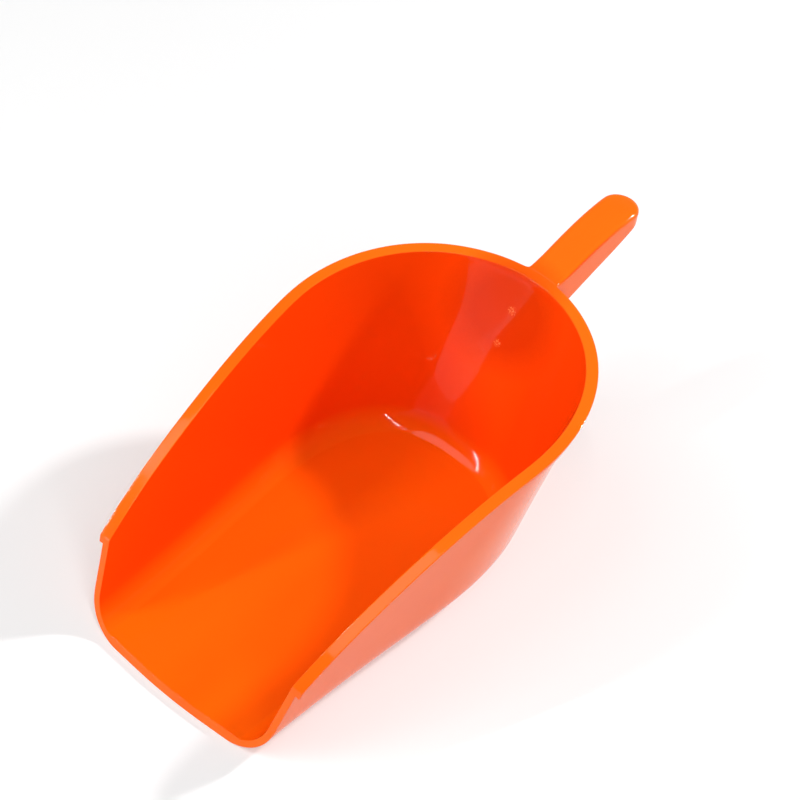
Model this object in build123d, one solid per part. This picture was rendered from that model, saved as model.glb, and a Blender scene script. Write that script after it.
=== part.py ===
"""One-piece moulded feed scoop: a flat-bottomed bowl, a rolled rim and a hollow-backed handle.

The real scoop is a single moulding with no moving parts.  Each node here is one of its moulded
features, and neighbouring features meet face to face.

Frame: +X to the right as seen from the mouth, +Y from the mouth to the handle, +Z up.  The
design measures Y from the corners of the mouth.  Every feature is moved by the same amount at
the end, so that the origin is under the middle of the scoop, on the surface it stands on.
"""

import math
import os

from build123d import *

# Driving dimensions, in millimetres and degrees.
BOWL_LENGTH = 240.0  # corners of the mouth to the back of the rim
WALL = 3.5  # side and rear walls, measured square to the wall
FLOOR_TOP = 4.4  # upper face of the floor

MOUTH_HALF_WIDTH = 52.0  # sharp bottom corner of the outer wall, at the mouth
SIDE_SPLAY = 0.06  # how much each side widens for every millimetre towards the rear
SIDE_HOLLOW = 0.9  # how far the middle of each side draws in from a straight line
SIDE_DRAFT = 7.1
REAR_DRAFT = 23.0
CORNER_RADIUS = 20.0  # outer rounding between floor and walls

# Behind the turn the plan is a rounded end: squarish at the base, nearly elliptical at the rim.
TURN_AT_BASE = 88.8
TURN_AT_TOP = 154.7
POWER_AT_BASE = 0.754
POWER_AT_TOP = 1.1

# Side views are lists of (distance from the mouth, height).
RIM_REAR_HEIGHT = 93.7
RIM_LINE = [
    (-20, 14),
    (12.5, 42.8),
    (70, 73.8),
    (126, 90.1),
    (183, 94.5),
    (BOWL_LENGTH, RIM_REAR_HEIGHT),
    (270, 91.5),
]
RIM_HEIGHT = 3.2
RIM_OVERHANG = 2.2

LIP_BOW = 2.9  # how far the middle of the lip stands ahead of the corners of the mouth
MOUTH_RAKE = 0.327  # how far the mouth leans back for every millimetre of height
LIP_DEPTH = 14.0  # length of the floor that belongs to the lip
SIDE_WALL_END = 150.0  # where the side walls pass into the rear wall

# The handle is a curved top plate with a web down each side, open underneath.
HANDLE_REACH = 66.0  # back of the rim to the tip of the handle
HANDLE_HALF_WIDTH_ROOT = 8.8
HANDLE_HALF_WIDTH_END = 9.6
HANDLE_PLATE = 3.2
HANDLE_WEB = 2.6
HANDLE_TOP_LINE = [
    (200, 92.9),
    (226, 93.2),
    (243, 93.6),
    (256, 96.8),
    (272, 100.5),
    (290, 102.3),
    (312, 100.8),
]
HANDLE_WEB_LINE = [
    (205, 59.5),
    (232, 69),
    (256, 77.2),
    (270, 82.4),
    (284, 87.2),
    (297, 92.8),
    (312, 98.6),
]
GUSSET_THICKNESS = 3.0
GUSSET_LINE = [(218, 51), (266, 96)]

# Extents of the blanks, all past the finished surfaces.
BLANK_TOP = 110.0
BLANK_FRONT = -20.0
HANDLE_START = 210.0
FAR = 400.0

REAR_AT_BASE = BOWL_LENGTH - RIM_OVERHANG - RIM_REAR_HEIGHT * math.tan(math.radians(REAR_DRAFT))
HANDLE_TIP = BOWL_LENGTH + HANDLE_REACH


def plan_outline(height, side_inset=0.0, rear_inset=0.0):
    """Closed outline of the bowl at one height, moved inwards by the insets."""
    share = height / BLANK_TOP
    turn = TURN_AT_BASE + (TURN_AT_TOP - TURN_AT_BASE) * share
    power = POWER_AT_BASE + (POWER_AT_TOP - POWER_AT_BASE) * share
    at_mouth = MOUTH_HALF_WIDTH + height * math.tan(math.radians(SIDE_DRAFT)) - side_inset
    rear = REAR_AT_BASE + height * math.tan(math.radians(REAR_DRAFT)) - rear_inset
    widening = SIDE_SPLAY + 4 * SIDE_HOLLOW / turn  # slope of the side where the turn begins

    def side_point(y):
        hollow = 4 * SIDE_HOLLOW * (y / turn) * (1 - y / turn)
        return (at_mouth + SIDE_SPLAY * y - hollow, y)

    def rear_point(angle):
        across = math.copysign(abs(math.cos(angle)) ** power, math.cos(angle))
        back = (rear - turn) * math.sin(angle) ** power
        return ((at_mouth + SIDE_SPLAY * turn + widening * back) * across, turn + back)

    side_stations = [BLANK_FRONT, BLANK_FRONT / 2 + turn / 4, turn * 0.75]
    right_side = [side_point(y) for y in side_stations]
    left_side = [(-x, y) for x, y in reversed(right_side)]
    rear_steps = 12
    rear_half = [rear_point(math.pi * step / rear_steps) for step in range(1, rear_steps)]
    curve = Spline(*right_side, *rear_half, *left_side)
    front = Line(curve @ 1, curve @ 0)
    return Plane.XY.offset(height) * make_face([curve, front])


def tapered_body(bottom, side_inset, rear_inset, rounding):
    """Solid from a bottom height to the blank's top, with its bottom edge rounded."""
    low = plan_outline(bottom, side_inset, rear_inset)
    high = plan_outline(BLANK_TOP, side_inset, rear_inset)
    body = loft([low, high], ruled=True)
    if rounding:
        tolerance = 0.01
        bottom_edges = [e for e in body.edges() if abs(e.center().Z - bottom) < tolerance]
        around = [e for e in bottom_edges if e.bounding_box().size.Y > tolerance]
        body = fillet(around, rounding)
    return body


def beyond_line(line, upwards):
    """Block as wide as the scoop, on the upper or lower side of a side-view line."""
    curve = Spline(*line)
    far = FAR if upwards else -FAR
    rest = Polyline(curve @ 1, (line[-1][0], far), (line[0][0], far), curve @ 0)
    face = Plane.YZ * make_face([curve, rest])
    return extrude(face, FAR / 2, both=True)


def raised(line, rise):
    return [(y, z + rise) for y, z in line]


def span(x=(-FAR, FAR), y=(-FAR, FAR), z=(-FAR, FAR)):
    """Box between two limits along each axis."""
    corner = (Align.MIN, Align.MIN, Align.MIN)
    return Pos(x[0], y[0], z[0]) * Box(x[1] - x[0], y[1] - y[0], z[1] - z[0], align=corner)


def ahead_of_mouth():
    """Everything ahead of the mouth, which leans back and bows out in the middle."""
    below = -10.0
    reach = MOUTH_HALF_WIDTH
    side = 2 * reach
    bow = ThreePointArc((-reach, 0), (0, -LIP_BOW), (reach, 0))
    ends = Polyline((reach, 0), (side, 0), (side, -FAR), (-side, -FAR), (-side, 0), (-reach, 0))
    face = Pos(0, below * MOUTH_RAKE, below) * make_face([bow, ends])
    lean = Vector(0, MOUTH_RAKE, 1)
    return extrude(face, (BLANK_TOP - 2 * below) * lean.length, dir=lean)


def handle_plan(inset):
    """Plan of the handle: two nearly straight edges and a half-round end."""
    root = HANDLE_HALF_WIDTH_ROOT - inset
    end = HANDLE_HALF_WIDTH_END - inset
    turn = HANDLE_TIP - HANDLE_HALF_WIDTH_END
    right = Line((root, HANDLE_START), (end, turn))
    tip = ThreePointArc((end, turn), (0, turn + end), (-end, turn))
    left = Line((-end, turn), (-root, HANDLE_START))
    across = Line((-root, HANDLE_START), (root, HANDLE_START))
    return make_face([right, tip, left, across])


side_inset = WALL / math.cos(math.radians(SIDE_DRAFT))
rear_inset = WALL / math.cos(math.radians(REAR_DRAFT))
outer = tapered_body(0.0, 0.0, 0.0, CORNER_RADIUS)
inner = tapered_body(WALL, side_inset, rear_inset, CORNER_RADIUS - WALL)
flared = tapered_body(0.0, -RIM_OVERHANG, -RIM_OVERHANG, 0.0)
mouth_space = ahead_of_mouth()
above_rim = beyond_line(RIM_LINE, upwards=True)
above_wall = beyond_line(raised(RIM_LINE, -RIM_HEIGHT), upwards=True)
left_half = span(x=(-FAR, 0))
right_half = span(x=(0, FAR))
front_part = span(y=(-FAR, SIDE_WALL_END))
rear_part = span(y=(SIDE_WALL_END, FAR))


def bowl_features():
    """Lip, floor and walls, all cut from one shell."""
    cavity = inner & span(z=(FLOOR_TOP, FAR))
    shell = outer - cavity - mouth_space
    floor = shell & span(z=(0, FLOOR_TOP))
    walls = (shell & span(z=(FLOOR_TOP, FAR))) - above_wall
    sides = walls & front_part
    return {
        "mouth_lip": floor & span(y=(-FAR, LIP_DEPTH)),
        "floor_plate": floor & span(y=(LIP_DEPTH, FAR)),
        "left_side_wall": sides & left_half,
        "right_side_wall": sides & right_half,
        "rear_wall": walls & rear_part,
    }


def rim_features():
    """The band that stands on the walls and overhangs them on the outside."""
    rim = ((flared - inner) & above_wall) - above_rim - mouth_space
    sides = rim & front_part
    return {
        "rim_left": sides & left_half,
        "rim_right": sides & right_half,
        "rim_rear": rim & rear_part,
    }


def handle_features():
    """Top plate, the web under each edge of it, and the gusset between the webs at the root."""
    bowl = outer + (flared & above_wall)
    block = extrude(handle_plan(0.0), FAR / 2) - beyond_line(HANDLE_TOP_LINE, upwards=True) - bowl
    channel = extrude(handle_plan(HANDLE_WEB), FAR / 2)
    below_plate = beyond_line(raised(HANDLE_TOP_LINE, -HANDLE_PLATE), upwards=False)
    webs = (block & below_plate) - channel - beyond_line(HANDLE_WEB_LINE, upwards=False)
    low, high = GUSSET_LINE
    side_view = Polyline(low, high, (high[0], FAR / 2), (low[0], FAR / 2), close=True)
    gusset = extrude(Plane.YZ * make_face(side_view), GUSSET_THICKNESS / 2, both=True)
    return {
        "handle_top": block - below_plate,
        "handle_left_web": webs & left_half,
        "handle_right_web": webs & right_half,
        "handle_gusset": (gusset & channel & below_plate) - bowl,
    }


features = bowl_features() | rim_features() | handle_features()
middle = (HANDLE_TIP - LIP_BOW) / 2

os.makedirs("parts", exist_ok=True)
for name, feature in features.items():
    export_step(Pos(0, -middle, 0) * feature, f"parts/{name}.step")
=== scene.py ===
"""Feed scoop: one glossy orange moulding, in metres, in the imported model's frame.

The moulding is one closed surface of four-sided faces: bowl, rim and handle grow out of each
other as they do in the real thing.  Only the gusset under the handle is a surface of its own.
Lengths below are millimetres in the design's own frame, where Y is measured from the corners of
the mouth; place() turns them into the row frame.
"""

import math

import bmesh
import bpy
import numpy as np
from mathutils import Matrix, Vector


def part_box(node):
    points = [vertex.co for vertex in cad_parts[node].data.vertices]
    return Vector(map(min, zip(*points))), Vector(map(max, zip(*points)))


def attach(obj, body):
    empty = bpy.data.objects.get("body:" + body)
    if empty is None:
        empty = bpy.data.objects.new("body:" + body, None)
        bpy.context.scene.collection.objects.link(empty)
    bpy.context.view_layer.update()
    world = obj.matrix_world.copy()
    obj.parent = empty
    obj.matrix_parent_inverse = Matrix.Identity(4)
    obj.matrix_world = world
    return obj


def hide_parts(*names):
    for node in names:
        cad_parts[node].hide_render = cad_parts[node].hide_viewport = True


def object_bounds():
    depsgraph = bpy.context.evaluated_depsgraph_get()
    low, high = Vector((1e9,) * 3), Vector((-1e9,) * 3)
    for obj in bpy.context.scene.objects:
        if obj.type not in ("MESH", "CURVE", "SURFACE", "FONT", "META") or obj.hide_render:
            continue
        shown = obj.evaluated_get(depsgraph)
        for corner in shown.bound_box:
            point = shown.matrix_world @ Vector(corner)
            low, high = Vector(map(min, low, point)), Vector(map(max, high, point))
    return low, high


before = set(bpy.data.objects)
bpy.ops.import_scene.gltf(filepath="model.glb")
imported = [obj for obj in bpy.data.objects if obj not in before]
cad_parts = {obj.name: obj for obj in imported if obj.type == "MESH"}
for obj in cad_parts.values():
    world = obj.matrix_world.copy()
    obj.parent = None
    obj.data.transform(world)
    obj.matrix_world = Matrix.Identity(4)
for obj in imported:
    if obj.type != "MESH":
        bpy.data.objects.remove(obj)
cad_low, cad_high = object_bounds()

MM = 0.001

# Bowl.
BOWL_LENGTH = 240.0  # corners of the mouth to the back of the rim
WALL = 3.5
FLOOR_TOP = 4.4
BLANK_TOP = 110.0  # height at which the values called "at top" hold
MOUTH_HALF_WIDTH = 52.0  # sharp bottom corner of the outer wall, at the mouth
SIDE_SPLAY = 0.06  # how much each side widens for every millimetre towards the rear
SIDE_HOLLOW = 0.9  # how far the middle of each side draws in from a straight line
SIDE_DRAFT = math.radians(7.1)
REAR_DRAFT = math.radians(23.0)
OUTER_RADIUS = 20.0  # outer rounding between floor and walls
TURN_AT_BASE = 88.8  # where the sides end and the rounded rear begins
TURN_AT_TOP = 154.7
POWER_AT_BASE = 0.754  # under 1 the rear is squarish, at 1 an ellipse
POWER_AT_TOP = 1.1
LIP_BOW = 2.9  # how far the middle of the lip stands ahead of the corners of the mouth
LIP_BOW_REACH = 60.0
MOUTH_RAKE = 0.327  # how far the mouth leans back for every millimetre of height

# How the surface is laid out and searched for.
EDGE = 0.8  # distance from a sharp edge to the loop that holds it round
INNER_FOOT = 0.35  # height above the floor of the loop that holds the inner crease round
OUTER_FOOT = 0.05  # the same above the table, on the outer face
SUBDIVISIONS = 2
ROUNDS = 20  # of the search for where the rim line crosses a rib
HALVINGS = 50  # of the search for the angle that has a given x
LEAST_ANGLE = 0.2  # in radians, before every place that is searched for
ANGLE_STEP = 1e-3  # in radians, for the direction of the outline at a point
LEAN_HEIGHT = 40.0  # height over which a wall's slope is measured

# Rim.
RIM_REAR_HEIGHT = 93.7
RIM_HEIGHT = 3.2
RIM_OVERHANG = 2.2
RIM_LINE = [
    (-20, 14),
    (12.5, 42.8),
    (70, 73.8),
    (126, 90.1),
    (183, 94.5),
    (BOWL_LENGTH, RIM_REAR_HEIGHT),
    (270, 91.5),
]

# Handle.
HANDLE_HALF_WIDTH_ROOT = 8.8
HANDLE_HALF_WIDTH_END = 9.6
HANDLE_PLATE = 3.2
HANDLE_WEB = 2.6
HANDLE_TOP_LINE = [
    (200, 92.9),
    (226, 93.2),
    (243, 93.6),
    (256, 96.8),
    (272, 100.5),
    (290, 102.3),
    (312, 100.8),
]
HANDLE_WEB_LINE = [
    (205, 59.5),
    (232, 69),
    (256, 77.2),
    (270, 82.4),
    (284, 87.2),
    (297, 92.8),
    (312, 98.6),
]
SHOULDER_DROPS = [0.35, 1.35, 2.7, 4.4]  # below the top of the handle, where its shoulder is rounded
SHOULDER_INSET = 0.85
FULL_SHOULDER_HEIGHT = 9.0  # a flank lower than this has a smaller shoulder
WEB_BULGE = 0.25  # how far the middle of a web's lower edge hangs
# Distances at which the handle's sections stand, before its rounded end.
HANDLE_STATIONS = [241.4, 243.6, 247.0, 252.0, 258.0, 264.0, 270.5, 277.0, 283.0, 288.5, 293.0]
SETTLED_AT = 5  # station by which the flank, which leans with the wall at its root, is upright
TIP_STEPS = 4  # steps round each quarter of the handle's end, besides those that the plate gives
GUSSET_THICKNESS = 3.0
GUSSET_LOW = (218.0, 51.0)  # ends of the gusset's free edge, in the wall and just under the plate
GUSSET_HIGH = (264.0, 94.1)
GUSSET_STATIONS = 10
GUSSET_BURIED = 1.6  # how deep its held edge lies in the wall and the plate

# Material, linear colours.
# Lit and shaded copies of one plastic, as painted light and shade: inner walls darkest, outer walls, level
# faces and raised tops lighter.
PLASTIC_SHADED_INSIDE = (0.90, 0.056, 0.001, 1)
PLASTIC_LIT_OUTSIDE = (0.88, 0.128, 0.004, 1)
PLASTIC_LIT_LEVEL = (0.96, 0.115, 0.002, 1)
PLASTIC_LIT_TOP = (0.96, 0.145, 0.006, 1)
PLASTIC_CLOUD = (0.84, 0.060, 0.001, 1)
# Painted highlight: the pale glint on the two sunk marks.
PLASTIC_MARK_HIGHLIGHT = (1.0, 0.24, 0.07, 1)
# Painted shade on the wall in front of the handle's root.
PLASTIC_PAINTED_SHADE = (0.60, 0.030, 0.001, 1)
MARKS = [((-4.7, 226.5, 76.4), 2.4), ((-5.0, 219.3, 59.5), 2.2)]  # centre and radius
BOWL_AXIS = (0.0, 150.0, 0.0)  # inner walls face it and outer walls face away
# Painted shade: the darker patch where less light comes through the wall.
HANDLE_SHADE = ((-6.0, 222.0, 76.0), 34.0)  # the darker patch on the wall in front of the handle

# Camera: angles are azimuth, elevation and roll in degrees, lengths in millimetres.
CAMERA_ANGLES = (34.717, 47.351, 8.653)
CAMERA_DISTANCE = 1157.803
CAMERA_TARGET = (-17.974, 165.898, 50.0)
CAMERA_LENS = 112.5
CAMERA_SENSOR = 36.0

# Light.
WORLD_STRENGTH = 0.55
HORIZON_END = 0.12  # upward part of a direction up to which the surroundings are white
CEILING_START = 0.62  # and from which they are as dark as the ceiling
CEILING = 0.06  # brightness overhead, as a share of the horizon's
FLOOR_GREY = 0.55
FLOOR_GLOW = 0.36
FLOOR_REACH = 40.0  # metres
# Round lamps: name, direction, distance and diameter in metres, power in watts.
DISKS = [
    ("key", (0.309, 0.713, 0.629), 1.6, 0.14, 19.0),
    ("softbox", (-0.25, -0.30, 0.92), 1.8, 0.9, 6.0),
]
# Strip lamps: name, directions of the two ends, power in watts.
STRIPS = [
    ("strip_left", (-0.31, -0.945, 0.10), (-0.48, -0.30, 0.825), 9.0),
    ("strip_right", (0.80, -0.52, 0.30), (0.05, -0.24, 0.97), 7.5),
]
STRIP_DISTANCE = 1.5  # metres, as the two lines below
STRIP_WIDTH = 0.018
STRIPS_SEEN_FROM = (-0.015, 0.04, 0.01)  # the rear rounding of the bowl, which mirrors the strips

HANDLE_TIP = (cad_high.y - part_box("mouth_lip")[0].y) / MM - LIP_BOW
SHIFT = -LIP_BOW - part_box("mouth_lip")[0].y / MM
REAR_AT_BASE = BOWL_LENGTH - RIM_OVERHANG - RIM_REAR_HEIGHT * math.tan(REAR_DRAFT)


def place(point):
    """Design millimetres to the row frame in metres."""
    x, y, z = point
    return Vector((x * MM, (y - SHIFT) * MM, z * MM))


def smooth_line(points):
    """Natural cubic curve through (distance, height) points, as a function of distance."""
    at, value = np.array(points, float).T
    step = np.diff(at)
    count = len(at)
    matrix, right = np.eye(count), np.zeros(count)
    for i in range(1, count - 1):
        matrix[i, i - 1 : i + 2] = step[i - 1], 2 * (step[i - 1] + step[i]), step[i]
        right[i] = 6 * ((value[i + 1] - value[i]) / step[i] - (value[i] - value[i - 1]) / step[i - 1])
    bend = np.linalg.solve(matrix, right)

    def height(distance):
        i = int(np.clip(np.searchsorted(at, distance) - 1, 0, count - 2))
        before, after = distance - at[i], at[i + 1] - distance
        curved = (bend[i] * after**3 + bend[i + 1] * before**3) / (6 * step[i])
        low = (value[i] / step[i] - bend[i] * step[i] / 6) * after
        high = (value[i + 1] / step[i] - bend[i + 1] * step[i] / 6) * before
        return curved + low + high

    return height


rim_height_at = smooth_line(RIM_LINE)
handle_top_at = smooth_line(HANDLE_TOP_LINE)
handle_web_at = smooth_line(HANDLE_WEB_LINE)


# ---------------------------------------------------------------- the bowl's outer face

def plan(height):
    """Half width at the mouth, start of the turn, rear end and power of the outline at a height."""
    share = height / BLANK_TOP
    turn = TURN_AT_BASE + (TURN_AT_TOP - TURN_AT_BASE) * share
    power = POWER_AT_BASE + (POWER_AT_TOP - POWER_AT_BASE) * share
    at_mouth = MOUTH_HALF_WIDTH + height * math.tan(SIDE_DRAFT)
    rear = REAR_AT_BASE + height * math.tan(REAR_DRAFT)
    return at_mouth, turn, rear, power


def side_x(height, y):
    """Half width of the outer face beside the straight part, and how fast it grows with y."""
    at_mouth, turn, _, _ = plan(height)
    share = y / turn
    x = at_mouth + SIDE_SPLAY * y - 4 * SIDE_HOLLOW * share * (1 - share)
    return x, SIDE_SPLAY - 4 * SIDE_HOLLOW * (1 - 2 * share) / turn


def rear_xy(height, angle):
    """Point of the outer face round the rear, from angle 0 at the turn to a right angle behind."""
    _, turn, rear, power = plan(height)
    widest, growth = side_x(height, turn)
    share = math.sin(angle) ** power
    x = (widest + growth * (rear - turn) * share) * max(math.cos(angle), 0.0) ** power
    return np.array([x, turn + (rear - turn) * share])


def angle_for_x(height, x):
    """Angle round the rear at which the outer face has a given x."""
    low, high = LEAST_ANGLE, math.pi / 2
    for _ in range(HALVINGS):
        middle = (low + high) / 2
        if rear_xy(height, middle)[0] > x:
            low = middle
        else:
            high = middle
    return (low + high) / 2


def rib_xy(rib, height):
    """Outer face of one rib at a height, with the horizontal normal there."""
    kind, value = rib
    if kind == "side":
        turn = plan(height)[1]
        start = MOUTH_RAKE * height
        y = start + (turn - start) * value
        x, growth = side_x(height, y)
        normal = np.array([1.0, -growth])
        return np.array([x, y]), normal / np.linalg.norm(normal)
    if kind == "corner":
        angle = angle_for_x(height, CENTRE_HALF) * value
    else:
        angle = angle_for_x(height, value) if value > 0 else math.pi / 2
    ahead = rear_xy(height, min(angle + ANGLE_STEP, math.pi / 2))
    behind = rear_xy(height, max(angle - ANGLE_STEP, 0.0))
    along = ahead - behind
    normal = np.array([along[1], -along[0]])
    return rear_xy(height, angle), normal / np.linalg.norm(normal)


def lean(rib):
    """Outward slope of the wall at a rib, as an angle from upright."""
    if rib[0] == "side":
        return SIDE_DRAFT
    low, normal = rib_xy(rib, 0.0)
    high, _ = rib_xy(rib, LEAN_HEIGHT)
    return math.atan(float(np.dot(high - low, normal)) / LEAN_HEIGHT)


def fillet_gap(height, radius, tilt):
    """Horizontal distance from the flat wall to the rounding at its foot."""
    if height >= radius * (1 - math.sin(tilt)):
        return 0.0
    height = max(height, 0.0)
    middle = radius * (1 - math.sin(tilt)) / math.cos(tilt)
    return middle - math.sqrt(radius**2 - (radius - height) ** 2) + height * math.tan(tilt)


def lip_bow(x):
    """How far the lip stands ahead of the corners of the mouth at a given x."""
    return LIP_BOW * math.cos(math.pi / 2 * min(abs(x) / LIP_BOW_REACH, 1.0)) ** 2


def shell_point(rib, height, inner, further=0.0):
    """Point of the outer or inner face of the shell, moved out by a further horizontal distance."""
    tilt = lean(rib)
    radius = OUTER_RADIUS - WALL if inner else OUTER_RADIUS
    base = WALL if inner else 0.0
    inset = fillet_gap(height - base, radius, tilt) - further
    if inner:
        inset += WALL / math.cos(tilt)
    (x, y), normal = rib_xy(rib, height)
    if rib[0] == "side":
        share = rib[1]
        y -= normal[1] * inset * share
        x = side_x(height, y)[0] - inset / normal[0]
        y -= lip_bow(x) * (1 - share) ** 2
    else:
        x, y = np.array([x, y]) - normal * inset
    return np.array([x, y, height])


# ---------------------------------------------------------------- cage of the moulding

# A rib is one upright section of the wall: (kind, place).  Beside the straight part its place is a
# share of the way from the mouth to the turn, round the corner a share of the turned angle, and
# behind the handle an x.  Ribs stand closest together at the mouth and at the handle's root.
CENTRE_HALF = 25.0
SIDE_SHARES = [0.0, 0.006, 0.03, 0.09, 0.17, 0.25, 0.34, 0.43, 0.52, 0.61, 0.70, 0.79, 0.88, 0.95]
CORNER_SHARES = [0.0, 0.08, 0.17, 0.27, 0.38, 0.49, 0.60, 0.71, 0.81, 0.91]
CENTRE_PLACES = [CENTRE_HALF, 20.0, 15.5, 12.0, HANDLE_HALF_WIDTH_ROOT, 7.5, 6.2, 3.1, 0.0]
RIGHT_RIBS = (
    [("side", s) for s in SIDE_SHARES]
    + [("corner", s) for s in CORNER_SHARES]
    + [("centre", x) for x in CENTRE_PLACES]
)
FILLET_STEPS = 6  # rows round the rounding at the foot of the wall
HANDLE_ROW_SHARE = 0.70  # row of the wall where the webs' lower edges meet it
WALL_SHARES = [0.12, 0.28, 0.45, 0.60, HANDLE_ROW_SHARE, 0.79, 0.89, 0.965]
WEB_COLUMNS = 2  # columns of faces that a web of the handle takes the place of


class Cage:
    """Points and four-sided faces gathered while the moulding is laid out."""

    def __init__(self):
        self.points = []
        self.faces = []

    def add(self, point):
        self.points.append(np.array(point, float))
        return len(self.points) - 1

    def grid(self, rows, skip=()):
        """Faces between neighbouring rows of point numbers."""
        for i in range(len(rows) - 1):
            for j in range(len(rows[i]) - 1):
                if (i, j) not in skip:
                    self.faces.append((rows[i][j], rows[i][j + 1], rows[i + 1][j + 1], rows[i + 1][j]))

    def coons(self, first, last, start, end):
        """Fills a patch inside its four edges, given as lists of point numbers.

        first and last run the same way, and so do start and end, which join their ends."""
        p = self.points
        across = self.shares(first, last)
        along = self.shares(start, end)
        rows = [list(first)]
        for i in range(1, len(start) - 1):
            v = along[i]
            row = [start[i]]
            for j in range(1, len(first) - 1):
                u = across[j]
                straight = (1 - v) * p[first[j]] + v * p[last[j]] + (1 - u) * p[start[i]] + u * p[end[i]]
                corners = (1 - u) * (1 - v) * p[first[0]] + u * (1 - v) * p[first[-1]]
                corners = corners + (1 - u) * v * p[last[0]] + u * v * p[last[-1]]
                row.append(self.add(straight - corners))
            rows.append(row + [end[i]])
        rows.append(list(last))
        self.grid(rows)

    def shares(self, one, other):
        """Share of the way at each point, averaged over two lines with as many points."""
        total = np.zeros(len(one))
        for line in (one, other):
            at = np.array([self.points[i] for i in line])
            run = np.concatenate([[0.0], np.cumsum(np.linalg.norm(np.diff(at, axis=0), axis=1))])
            total += run / run[-1] / 2
        return total


def rib_chain(rib):
    """Points of one rib as named rows: inner face, top of the rim, its edge, and outer face."""
    tilt = lean(rib)
    top = RIM_REAR_HEIGHT
    for _ in range(ROUNDS):
        top = rim_height_at(shell_point(rib, top, False)[1])
    under = top - RIM_HEIGHT

    def levels(base, first, radius):
        start = math.acos(1 - (first - base) / radius)
        stop = math.pi / 2 - tilt
        turns = [start + (stop - start) * i / FILLET_STEPS for i in range(1, FILLET_STEPS + 1)]
        foot = [base + radius * (1 - math.cos(turn)) for turn in turns]
        walls = [foot[-1] + (under - foot[-1]) * share for share in WALL_SHARES]
        return [first] + foot + walls + [under]

    def on_rim(point):
        return np.array([point[0], point[1], rim_height_at(point[1])])

    inner_levels = levels(WALL, FLOOR_TOP, OUTER_RADIUS - WALL)
    outer_levels = levels(0.0, 0.0, OUTER_RADIUS)
    inner = [shell_point(rib, z, True) for z in inner_levels]
    inner.insert(1, shell_point(rib, FLOOR_TOP + INNER_FOOT, True))
    inner.insert(0, shell_point(rib, FLOOR_TOP, True, -EDGE))
    outer = [shell_point(rib, z, False) for z in outer_levels]
    outer.insert(1, shell_point(rib, OUTER_FOOT, False))
    outer.insert(0, shell_point(rib, 0.0, False, -EDGE))
    inner += [shell_point(rib, under + EDGE, True), shell_point(rib, top - EDGE, True)]
    inner_top = on_rim(shell_point(rib, top, True))
    wall_top = on_rim(shell_point(rib, top, False))
    rim_top = on_rim(shell_point(rib, top, False, RIM_OVERHANG))
    thick = np.linalg.norm(wall_top - inner_top)
    crown = [on_rim(inner_top + (wall_top - inner_top) * s) for s in (EDGE / thick, 0.5, 1 - EDGE / thick)]
    crown += [wall_top, on_rim(rim_top + (wall_top - rim_top) * EDGE / RIM_OVERHANG), rim_top]
    rim_low = shell_point(rib, under, False, RIM_OVERHANG)
    edge = [shell_point(rib, z, False, RIM_OVERHANG) for z in (top - EDGE, under + EDGE)]
    edge += [rim_low, rim_low + (outer[-1] - rim_low) * EDGE / RIM_OVERHANG]
    for point in edge[:1] + inner[-1:]:
        point[2] = rim_height_at(point[1]) - EDGE
    for point in edge[1:2] + inner[-2:-1]:
        point[2] = rim_height_at(point[1]) - RIM_HEIGHT + EDGE
    for point in edge[2:]:
        point[2] = rim_height_at(point[1]) - RIM_HEIGHT
    return inner + [inner_top], crown, edge, outer


def mirrored(point):
    return point * np.array([-1.0, 1.0, 1.0])


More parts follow.
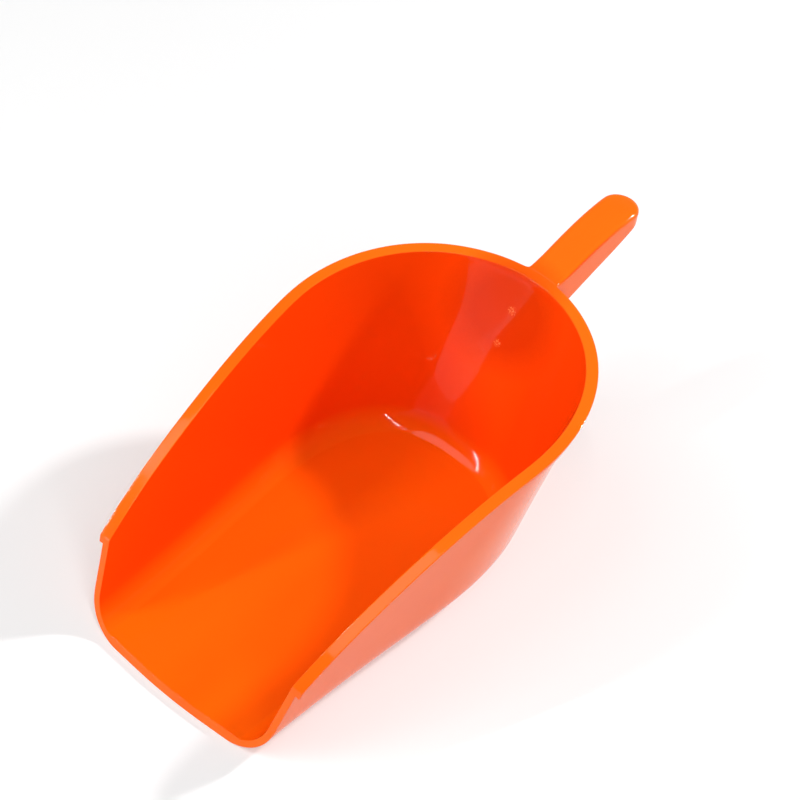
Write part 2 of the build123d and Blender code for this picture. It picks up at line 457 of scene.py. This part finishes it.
def build_bowl(cage):
    """Lays the ribs, floor and mouth; returns what the handle needs to join on."""
    right = [rib_chain(rib) for rib in RIGHT_RIBS]
    left = [tuple([mirrored(p) for p in part] for part in chain) for chain in reversed(right[:-1])]
    ribs = [tuple([cage.add(p) for p in part] for part in chain) for chain in right + left]
    inner_count, outer_count = len(ribs[0][0]), len(ribs[0][3])

    def whole(rib):
        inner, crown, edge, outer = rib
        return inner + crown + edge + outer[::-1]

    chains = [whole(rib) for rib in ribs]
    # Faces that the handle takes the place of: the rim's edge, and under it a strip for each web.
    edge_start = inner_count + len(ribs[0][1]) - 1
    under_start = edge_start + 3
    centre = len(RIGHT_RIBS) - 1
    half_columns = len(CENTRE_PLACES) - 1 - CENTRE_PLACES.index(HANDLE_HALF_WIDTH_ROOT)
    root_row = outer_count - 1 - (len(WALL_SHARES) - WALL_SHARES.index(HANDLE_ROW_SHARE))
    wall_rows = outer_count - 1 - root_row
    skip = set()
    for column in range(centre - half_columns, centre + half_columns):
        skip |= {(column, edge_start + k) for k in range(3)}
        from_edge = min(column - (centre - half_columns), centre + half_columns - 1 - column)
        if from_edge < WEB_COLUMNS:
            skip |= {(column, under_start + k) for k in range(2 + wall_rows)}
    cage.grid(chains, skip)

    corner = len(SIDE_SHARES) + len(CORNER_SHARES)
    last = len(ribs) - 1

    def lay_floor(part, height):
        """Upper or lower face of the floor; returns its row of points along the lip."""
        rear = [ribs[i][part][0] for i in range(corner, last - corner + 1)]
        start = [ribs[i][part][0] for i in range(corner + 1)]
        end = [ribs[last - i][part][0] for i in range(corner + 1)]
        points = cage.points
        reach = points[start[0]][0]
        shares = cage.shares(rear, rear)
        front = [start[0]]
        for share in shares[1:-1]:
            x = reach * (1 - 2 * share)
            front.append(cage.add((x, MOUTH_RAKE * height - lip_bow(x), height)))
        front.append(end[0])
        cage.coons(front, rear, start, end)
        return front

    top_front = lay_floor(0, FLOOR_TOP)
    base_front = lay_floor(3, 0.0)

    def mouth_columns(inside, outside):
        """Row across the thickness of the mouth's front face."""
        a, b = cage.points[inside], cage.points[outside]
        thick = np.linalg.norm(b - a)
        row = [inside]
        for share in (EDGE / thick, 0.5, 1 - EDGE / thick):
            point = a + (b - a) * share
            point[1] = MOUTH_RAKE * point[2] - lip_bow(point[0])
            row.append(cage.add(point))
        return row + [outside]

    def end_of(rib):
        """Front face of one side wall, with the end of its rim."""
        inner, crown, edge, outer = rib
        rows = [mouth_columns(inner[i], outer[i]) for i in range(outer_count)]
        ends = []  # two rows at the end of the rim, each across the wall and then the overhang
        for level, side in ((1, edge[1]), (2, edge[0])):
            inside = inner[outer_count - 1 + level]
            height = cage.points[inside][2]
            wall = cage.points[outer[-1]] * (1 - level / 3) + cage.points[crown[3]] * (level / 3)
            wall = np.array([wall[0], MOUTH_RAKE * height, height])
            row = mouth_columns(inside, cage.add(wall))
            a, b = cage.points[row[-1]], cage.points[side]
            between = b + (a - b) * EDGE / RIM_OVERHANG
            ends.append(row + [cage.add(between), side])
        cage.grid(rows + [ends[0][:5], ends[1][:5], [inner[-1]] + crown[:4]])
        cage.grid([[outer[-1], edge[3], edge[2]], ends[0][4:], ends[1][4:], crown[3:6]])
        return rows

    right_rows = end_of(ribs[0])
    left_rows = end_of(ribs[-1])
    middle = [mouth_columns(a, b) for a, b in zip(top_front[1:-1], base_front[1:-1])]
    cage.grid([right_rows[0]] + middle + [left_rows[0]])
    first = centre - half_columns
    columns = ribs[first : centre + half_columns + 1]
    return columns, root_row


def build_handle(cage, columns, root_row):
    """Top plate and webs, growing out of the rim and the rear wall."""
    end_turn = HANDLE_TIP - HANDLE_HALF_WIDTH_END
    stations = HANDLE_STATIONS + [end_turn]
    growth = (HANDLE_HALF_WIDTH_END - HANDLE_HALF_WIDTH_ROOT) / (end_turn - BOWL_LENGTH)

    def half_width(y):
        return HANDLE_HALF_WIDTH_ROOT + growth * (y - BOWL_LENGTH)

    def settled(step):
        """0 at the root, rising smoothly to 1 where the flank is upright."""
        share = min(step / SETTLED_AT, 1.0)
        return share * share * (3 - 2 * share)

    columns_count = len(columns)
    steps_round = 2 * TIP_STEPS + columns_count - 1
    path_steps = len(stations) + steps_round // 2  # to the tip's middle

    def plan_place(step, inset, offset):
        """x and y on the handle's plan at a step along its right edge and round half its end."""
        if step <= len(stations):
            y = stations[step - 1] + offset * (1 - settled(step))
            return half_width(y) - inset, y
        angle = math.pi / steps_round * (step - len(stations))
        radius = HANDLE_HALF_WIDTH_END - inset
        return radius * math.cos(angle), end_turn + radius * math.sin(angle)

    def strip(root, inset_of, height_of):
        """Rows of points along the right edge to the tip's middle, one row for each root point."""
        rows = []
        for k, start in enumerate(root):
            row = [start]
            at_root = cage.points[start]
            for step in range(1, path_steps + 1):
                x, y = plan_place(step, inset_of(k), at_root[1] - BOWL_LENGTH)
                z = height_of(k, y, at_root, settled(step))
                row.append(cage.add((max(x, 0.0) if step < path_steps else 0.0, y, z)))
            rows.append(row)
        return rows

    def whole_way(right_rows, left_root):
        """Carries rows from the right root round the tip to the left root."""
        rows = []
        for row, finish in zip(right_rows, left_root):
            back = [cage.add(mirrored(cage.points[i])) for i in row[1:-1]]
            rows.append(row + back[::-1] + [finish])
        return rows

    def flank_root(rib, full):
        """Points of a rib where a flank begins, up to the rim's lower edge or, if full, its top."""
        _, crown, edge, outer = rib
        rows = outer[root_row:] + [edge[3], edge[2]]
        return rows + [edge[1], edge[0], crown[5]] if full else rows

    def share_of(at_root, low, high):
        """How high a root point lies between two side-view lines."""
        y = at_root[1]
        return (at_root[2] - low(y)) / (high(y) - low(y))

    # Outer flank: rows from the web's lower edge up to the top edge.
    right_outer, left_outer = flank_root(columns[0], True), flank_root(columns[-1], True)
    rows_up = len(right_outer)
    from_top = {rows_up - 1 - i: drop for i, drop in enumerate(SHOULDER_DROPS)}
    even_rows = rows_up - 1 - len(SHOULDER_DROPS)

    def top_inset(k):
        return SHOULDER_INSET if k == rows_up - 1 else 0.0

    def outer_height(k, y, at_root, ready):
        low, high = handle_web_at(y), handle_top_at(y)
        size = min(1.0, (high - low) / FULL_SHOULDER_HEIGHT)
        if k in from_top:
            goal = high - from_top[k] * size
        else:
            goal = low + (high - SHOULDER_DROPS[-1] * size - low) * k / (even_rows + 1)
        start = low + share_of(at_root, handle_web_at, handle_top_at) * (high - low)
        return start + (goal - start) * ready

    outer_rows = whole_way(strip(right_outer, top_inset, outer_height), left_outer)
    cage.grid(outer_rows)

    # Inner flank of the channel.
    right_inner = flank_root(columns[WEB_COLUMNS], False)
    left_inner = flank_root(columns[-1 - WEB_COLUMNS], False)
    inner_rows_up = len(right_inner)

    def under_at(y):
        return handle_top_at(y) - HANDLE_PLATE

    def inner_height(k, y, at_root, ready):
        low, high = handle_web_at(y), under_at(y)
        start = low + share_of(at_root, handle_web_at, under_at) * (high - low)
        goal = low + (high - low) * k / (inner_rows_up - 1)
        return start + (goal - start) * ready

    inner_rows = whole_way(strip(right_inner, lambda k: HANDLE_WEB, inner_height), left_inner)
    cage.grid(inner_rows)

    # Lower edge of the webs, between the two flanks.
    def edge_height(k, y, at_root, ready):
        return handle_web_at(y) - WEB_BULGE * ready

    middle_right = [columns[1][3][root_row]]
    middle_left = [columns[-2][3][root_row]]
    edge_row = whole_way(strip(middle_right, lambda k: HANDLE_WEB / 2, edge_height), middle_left)
    cage.grid([outer_rows[0], edge_row[0], inner_rows[0]])

    def cap(boundary, root, height):
        """Sheet across the handle inside a boundary that runs from right root to left root."""
        wide = len(root)
        along = (len(boundary) - wide) // 2
        right, left = boundary[: along + 1], boundary[::-1][: along + 1]
        far = boundary[along : along + wide]
        rows = [root]
        straight = len(stations)
        for step in range(1, straight + 1):
            a, b = cage.points[right[step]], cage.points[left[step]]
            shares = [cage.points[i][0] / cage.points[root[0]][0] for i in root]
            row = [right[step]]
            for share in shares[1:-1]:
                point = (a + b) / 2 + (a - b) / 2 * share
                row.append(cage.add((point[0], point[1], height(point[1]))))
            rows.append(row + [left[step]])
        cage.grid(rows)
        fresh = len(cage.points)
        cage.coons(rows[-1], far, right[straight:], left[straight:])
        for point in cage.points[fresh:]:
            point[2] = height(point[1])

    cap(outer_rows[-1], [rib[1][5] for rib in columns], handle_top_at)
    under_root = [rib[2][2] for rib in columns[WEB_COLUMNS : columns_count - WEB_COLUMNS]]
    cap(inner_rows[-1], under_root, under_at)


def to_object(name, cage):
    """Smooth closed mesh from a cage."""
    mesh = bpy.data.meshes.new(name)
    mesh.from_pydata([place(p) for p in cage.points], [], cage.faces)
    mesh.validate()
    outward = bmesh.new()
    outward.from_mesh(mesh)
    bmesh.ops.recalc_face_normals(outward, faces=outward.faces)
    outward.to_mesh(mesh)
    outward.free()
    for face in mesh.polygons:
        face.use_smooth = True
    piece = bpy.data.objects.new(name, mesh)
    bpy.context.scene.collection.objects.link(piece)
    smooth = piece.modifiers.new("smooth", "SUBSURF")
    smooth.levels = smooth.render_levels = SUBDIVISIONS
    return piece


def build_gusset(cage):
    """Thin plate from the rear wall to the underside of the handle, its free edge rounded."""
    half = GUSSET_THICKNESS / 2
    corner_height = RIM_REAR_HEIGHT - RIM_HEIGHT

    def wall_at(height):
        return REAR_AT_BASE + height * math.tan(REAR_DRAFT)

    def buried_edge(share):
        """Up the wall for the first half of the way, then along under the plate."""
        if share < 0.5:
            height = GUSSET_LOW[1] + (corner_height - GUSSET_LOW[1]) * share * 2
            return np.array([wall_at(height) - GUSSET_BURIED, height])
        y = wall_at(corner_height) + (GUSSET_HIGH[0] - wall_at(corner_height)) * (share - 0.5) * 2
        return np.array([y, handle_top_at(y) - HANDLE_PLATE + GUSSET_BURIED])

    rounds, middles = [], []
    for step in range(GUSSET_STATIONS + 1):
        share = step / GUSSET_STATIONS
        free = np.array(GUSSET_LOW) + (np.array(GUSSET_HIGH) - np.array(GUSSET_LOW)) * share
        held = buried_edge(share)
        depth = np.linalg.norm(held - free)
        places = [held, (held + free) / 2, free + (held - free) * min(EDGE / depth, 0.3), free]
        right = [cage.add((half, *spot)) for spot in places]
        left = [cage.add((-half, *spot)) for spot in places]
        tip, back = cage.add((0, *free)), cage.add((0, *held))
        rounds.append(left + [tip] + right[::-1] + [back, left[0]])
        middles.append((left, right, tip, back, places))
    cage.grid(rounds)
    for left, right, tip, back, places in (middles[0], middles[-1]):  # the two ends
        inside = [cage.add((0, *spot)) for spot in places[1:3]]
        centre = [back] + inside + [tip]
        cage.grid([left, centre, right])


cage = Cage()
columns, root_row = build_bowl(cage)
build_handle(cage, columns, root_row)
scoop = to_object("scoop_moulding", cage)
gusset_cage = Cage()
build_gusset(gusset_cage)
gusset = to_object("root_gusset", gusset_cage)


# ---------------------------------------------------------------- material

def orange_plastic():
    """Glossy polypropylene: flow clouds in the colour, painted light and shade by how each face turns, a
    painted shade behind the handle, orange peel, fine scuffs and two marks with a painted highlight.
    """
    material = bpy.data.materials.new("orange_plastic")
    material.use_nodes = True
    nodes, links = material.node_tree.nodes, material.node_tree.links
    shader = nodes["Principled BSDF"]
    shader.inputs["IOR"].default_value = 1.49
    shader.inputs["Specular IOR Level"].default_value = 0.06
    shader.inputs["Coat Weight"].default_value = 0.32
    shader.inputs["Coat Roughness"].default_value = 0.035
    where = nodes.new("ShaderNodeTexCoord").outputs["Object"]

    def noise(scale, detail, stretch=(1, 1, 1)):
        """Noise with about as many blotches to the metre as its scale, drawn out where stretch is low."""
        mapping = nodes.new("ShaderNodeMapping")
        mapping.inputs["Scale"].default_value = stretch
        texture = nodes.new("ShaderNodeTexNoise")
        texture.inputs["Scale"].default_value = scale
        texture.inputs["Detail"].default_value = detail
        links.new(where, mapping.inputs["Vector"])
        links.new(mapping.outputs["Vector"], texture.inputs["Vector"])
        return texture.outputs["Fac"]

    def spread(value, low, high, to_low, to_high):
        """Carries one range over to another, clamped at both ends."""
        remap = nodes.new("ShaderNodeMapRange")
        links.new(value, remap.inputs["Value"])
        settings = {"From Min": low, "From Max": high, "To Min": to_low, "To Max": to_high}
        for socket, amount in settings.items():
            remap.inputs[socket].default_value = amount
        return remap.outputs["Result"]

    def maths(operation, one, other):
        node = nodes.new("ShaderNodeMath")
        node.operation = operation
        for socket, value in zip(node.inputs, (one, other)):
            if isinstance(value, float):
                socket.default_value = value
            else:
                links.new(value, socket)
        return node.outputs["Value"]

    def mark(centre, radius):
        """1 in the middle of a ragged round mark, 0 outside its radius."""
        offset = nodes.new("ShaderNodeVectorMath")
        offset.operation = "DISTANCE"
        offset.inputs[1].default_value = place(centre)
        links.new(where, offset.inputs[0])
        ragged = maths("ADD", offset.outputs["Value"], spread(noise(900, 2), 0.3, 0.7, -0.0008, 0.0008))
        return spread(ragged, radius * 0.5 * MM, radius * MM, 1.0, 0.0)

    def mixed(share, one, other):
        """Colour between two, each of which is a colour or another node's output."""
        node = nodes.new("ShaderNodeMix")
        node.data_type = "RGBA"
        links.new(share, node.inputs["Factor"])
        for socket, value in (("A", one), ("B", other)):
            if isinstance(value, tuple):
                node.inputs[socket].default_value = value
            else:
                links.new(value, node.inputs[socket])
        return node.outputs["Result"]

    def upright_part(vector):
        split = nodes.new("ShaderNodeSeparateXYZ")
        links.new(vector, split.inputs["Vector"])
        return split.outputs["Z"]

    def vector_maths(operation, one, other, output="Vector"):
        node = nodes.new("ShaderNodeVectorMath")
        node.operation = operation
        links.new(one, node.inputs[0])
        if isinstance(other, tuple):
            node.inputs[1].default_value = other
        else:
            links.new(other, node.inputs[1])
        return node.outputs[output]

    # Painted light and shade: inner walls are painted the deepest red as shade, outer walls and level
    # faces lighter, and the rim and handle tops lightest where they catch the most light.
    normal = nodes.new("ShaderNodeNewGeometry").outputs["Normal"]
    level = spread(upright_part(normal), 0.35, 0.9, 0.0, 1.0)
    lit_top_share = maths("MULTIPLY", level, spread(upright_part(where), 0.020, 0.034, 0.0, 1.0))
    outwards = vector_maths("MULTIPLY", normal, (1.0, 1.0, 0.0))
    from_axis = vector_maths("SUBTRACT", where, tuple(place(BOWL_AXIS)))
    outside = spread(vector_maths("DOT_PRODUCT", outwards, from_axis, "Value"), -0.002, 0.004, 0.0, 1.0)
    wall = mixed(outside, PLASTIC_SHADED_INSIDE, PLASTIC_LIT_OUTSIDE)
    colour = mixed(lit_top_share, mixed(level, wall, PLASTIC_LIT_LEVEL), PLASTIC_LIT_TOP)
    marks = maths("ADD", mark(*MARKS[0]), mark(*MARKS[1]))
    clouds = spread(noise(14, 3, (1, 0.45, 1)), 0.45, 0.75, 0.0, 0.35)
    colour = mixed(clouds, colour, PLASTIC_CLOUD)
    # Painted highlight: the two sunk marks are painted paler, ragged by noise, as the glint on their
    # edges.
    mark_highlight = maths("MULTIPLY", marks, spread(noise(1300, 2), 0.50, 0.58, 0.15, 1.0))
    # Painted shade: where the handle stands behind the wall, less light comes through, so the red is
    # painted deeper.
    shaded = maths("MULTIPLY", mark(*HANDLE_SHADE), 0.75)
    colour = mixed(shaded, colour, PLASTIC_PAINTED_SHADE)
    links.new(mixed(mark_highlight, colour, PLASTIC_MARK_HIGHLIGHT), shader.inputs["Base Color"])

    # Scuffs run along the scoop, from filling and emptying it.
    scuffs = spread(noise(260, 4, (1, 0.08, 1)), 0.60, 0.72, 0.0, 0.10)
    wear = spread(noise(30, 4), 0.3, 0.7, 0.07, 0.12)
    links.new(maths("ADD", wear, scuffs), shader.inputs["Roughness"])

    # Relief: orange peel, a finer grain, and the two marks sunk in.
    peel = spread(noise(170, 2), 0.2, 0.8, 0.0, 1.0)
    grain = spread(noise(1400, 2), 0.2, 0.8, 0.0, 0.25)
    relief = maths("SUBTRACT", maths("ADD", peel, grain), maths("MULTIPLY", marks, 6.0))
    bump = nodes.new("ShaderNodeBump")
    bump.inputs["Strength"].default_value = 0.22
    bump.inputs["Distance"].default_value = 0.00012
    links.new(relief, bump.inputs["Height"])
    links.new(bump.outputs["Normal"], shader.inputs["Normal"])
    return material


plastic = orange_plastic()
for piece in (scoop, gusset):
    piece.data.materials.append(plastic)
    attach(piece, "root")
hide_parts("handle_gusset")
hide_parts(*[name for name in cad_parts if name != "handle_gusset"])


# ---------------------------------------------------------------- stage, camera and light

def stage_floor():
    """Pale floor that can be seen through from below."""
    corners = [(x * FLOOR_REACH, y * FLOOR_REACH, 0) for x, y in ((-1, -1), (1, -1), (1, 1), (-1, 1))]
    mesh = bpy.data.meshes.new("studio_floor")
    mesh.from_pydata(corners, [], [(0, 1, 2, 3)])
    floor = bpy.data.objects.new("studio_floor", mesh)
    bpy.context.scene.collection.objects.link(floor)
    material = bpy.data.materials.new("studio_floor")
    material.use_nodes = True
    nodes, links = material.node_tree.nodes, material.node_tree.links
    shader = nodes["Principled BSDF"]
    shader.inputs["Base Color"].default_value = (*[FLOOR_GREY] * 3, 1)
    shader.inputs["Roughness"].default_value = 0.9
    shader.inputs["Specular IOR Level"].default_value = 0.1
    shader.inputs["Emission Color"].default_value = (1, 1, 1, 1)
    shader.inputs["Emission Strength"].default_value = FLOOR_GLOW
    side = nodes.new("ShaderNodeNewGeometry")
    clear = nodes.new("ShaderNodeBsdfTransparent")
    either = nodes.new("ShaderNodeMixShader")
    links.new(side.outputs["Backfacing"], either.inputs["Fac"])
    links.new(shader.outputs["BSDF"], either.inputs[1])
    links.new(clear.outputs["BSDF"], either.inputs[2])
    links.new(either.outputs["Shader"], nodes["Material Output"].inputs["Surface"])
    mesh.materials.append(material)


def camera():
    """Camera that looks at its target from the photographed side."""
    azimuth, elevation, roll = (math.radians(a) for a in CAMERA_ANGLES)
    forward = Vector(
        (
            -math.sin(azimuth) * math.cos(elevation),
            math.cos(azimuth) * math.cos(elevation),
            -math.sin(elevation),
        )
    )
    data = bpy.data.cameras.new("photo_view")
    data.lens = CAMERA_LENS
    data.sensor_width = CAMERA_SENSOR
    data.clip_start, data.clip_end = 0.05, 100.0
    view = bpy.data.objects.new("photo_view", data)
    bpy.context.scene.collection.objects.link(view)
    right = Vector((math.cos(azimuth), math.sin(azimuth), 0.0))
    up = right.cross(forward)
    turned_right = math.cos(roll) * right + math.sin(roll) * up
    turned_up = -math.sin(roll) * right + math.cos(roll) * up
    axes = Matrix((turned_right, turned_up, -forward)).transposed()
    eye = place(CAMERA_TARGET) - forward * CAMERA_DISTANCE * MM
    view.matrix_world = Matrix.Translation(eye) @ axes.to_4x4()
    bpy.context.scene.camera = view


def area_lamp(name, shape, size, power, place_at, axes):
    """Lamp of a shape and size that shines along the third axis, backwards."""
    data = bpy.data.lights.new(name, "AREA")
    data.shape = shape
    data.size, data.size_y = size
    data.energy = power
    light = bpy.data.objects.new(name, data)
    light.matrix_world = Matrix.Translation(place_at) @ axes.to_4x4()
    bpy.context.scene.collection.objects.link(light)


def disk_lamp(name, toward, distance, size, power):
    """Round lamp that lies in a direction from the scoop and faces it."""
    direction = Vector(toward).normalized()
    axes = direction.to_track_quat("Z", "Y").to_matrix()
    area_lamp(name, "DISK", (size, size), power, direction * distance, axes)


def strip_lamp(name, first, last, power):
    """Narrow lamp that spans the way between two directions."""
    eye = Vector(STRIPS_SEEN_FROM)
    one, other = (eye + Vector(end).normalized() * STRIP_DISTANCE for end in (first, last))
    along = (other - one).normalized()
    middle = (one + other) / 2
    away = (middle - eye).normalized()
    across = along.cross(away).normalized()
    axes = Matrix((across, along, across.cross(along))).transposed()
    area_lamp(name, "RECTANGLE", (STRIP_WIDTH, (other - one).length), power, middle, axes)


def lights():
    """Bright surroundings near the horizon, a darker ceiling and a few lamps."""
    world = bpy.data.worlds.new("studio")
    bpy.context.scene.world = world
    world.use_nodes = True
    nodes, links = world.node_tree.nodes, world.node_tree.links
    direction = nodes.new("ShaderNodeTexCoord")
    split = nodes.new("ShaderNodeSeparateXYZ")
    ramp = nodes.new("ShaderNodeValToRGB")
    links.new(direction.outputs["Generated"], split.inputs["Vector"])
    links.new(split.outputs["Z"], ramp.inputs["Fac"])
    links.new(ramp.outputs["Color"], nodes["Background"].inputs["Color"])
    ramp.color_ramp.elements[0].position = HORIZON_END
    ramp.color_ramp.elements[0].color = (1, 1, 1, 1)
    ramp.color_ramp.elements[1].position = CEILING_START
    ramp.color_ramp.elements[1].color = (*[CEILING] * 3, 1)
    nodes["Background"].inputs["Strength"].default_value = WORLD_STRENGTH
    for lamp in DISKS:
        disk_lamp(*lamp)
    for lamp in STRIPS:
        strip_lamp(*lamp)


stage_floor()
camera()
lights()
bpy.context.scene.view_settings.view_transform = "Standard"
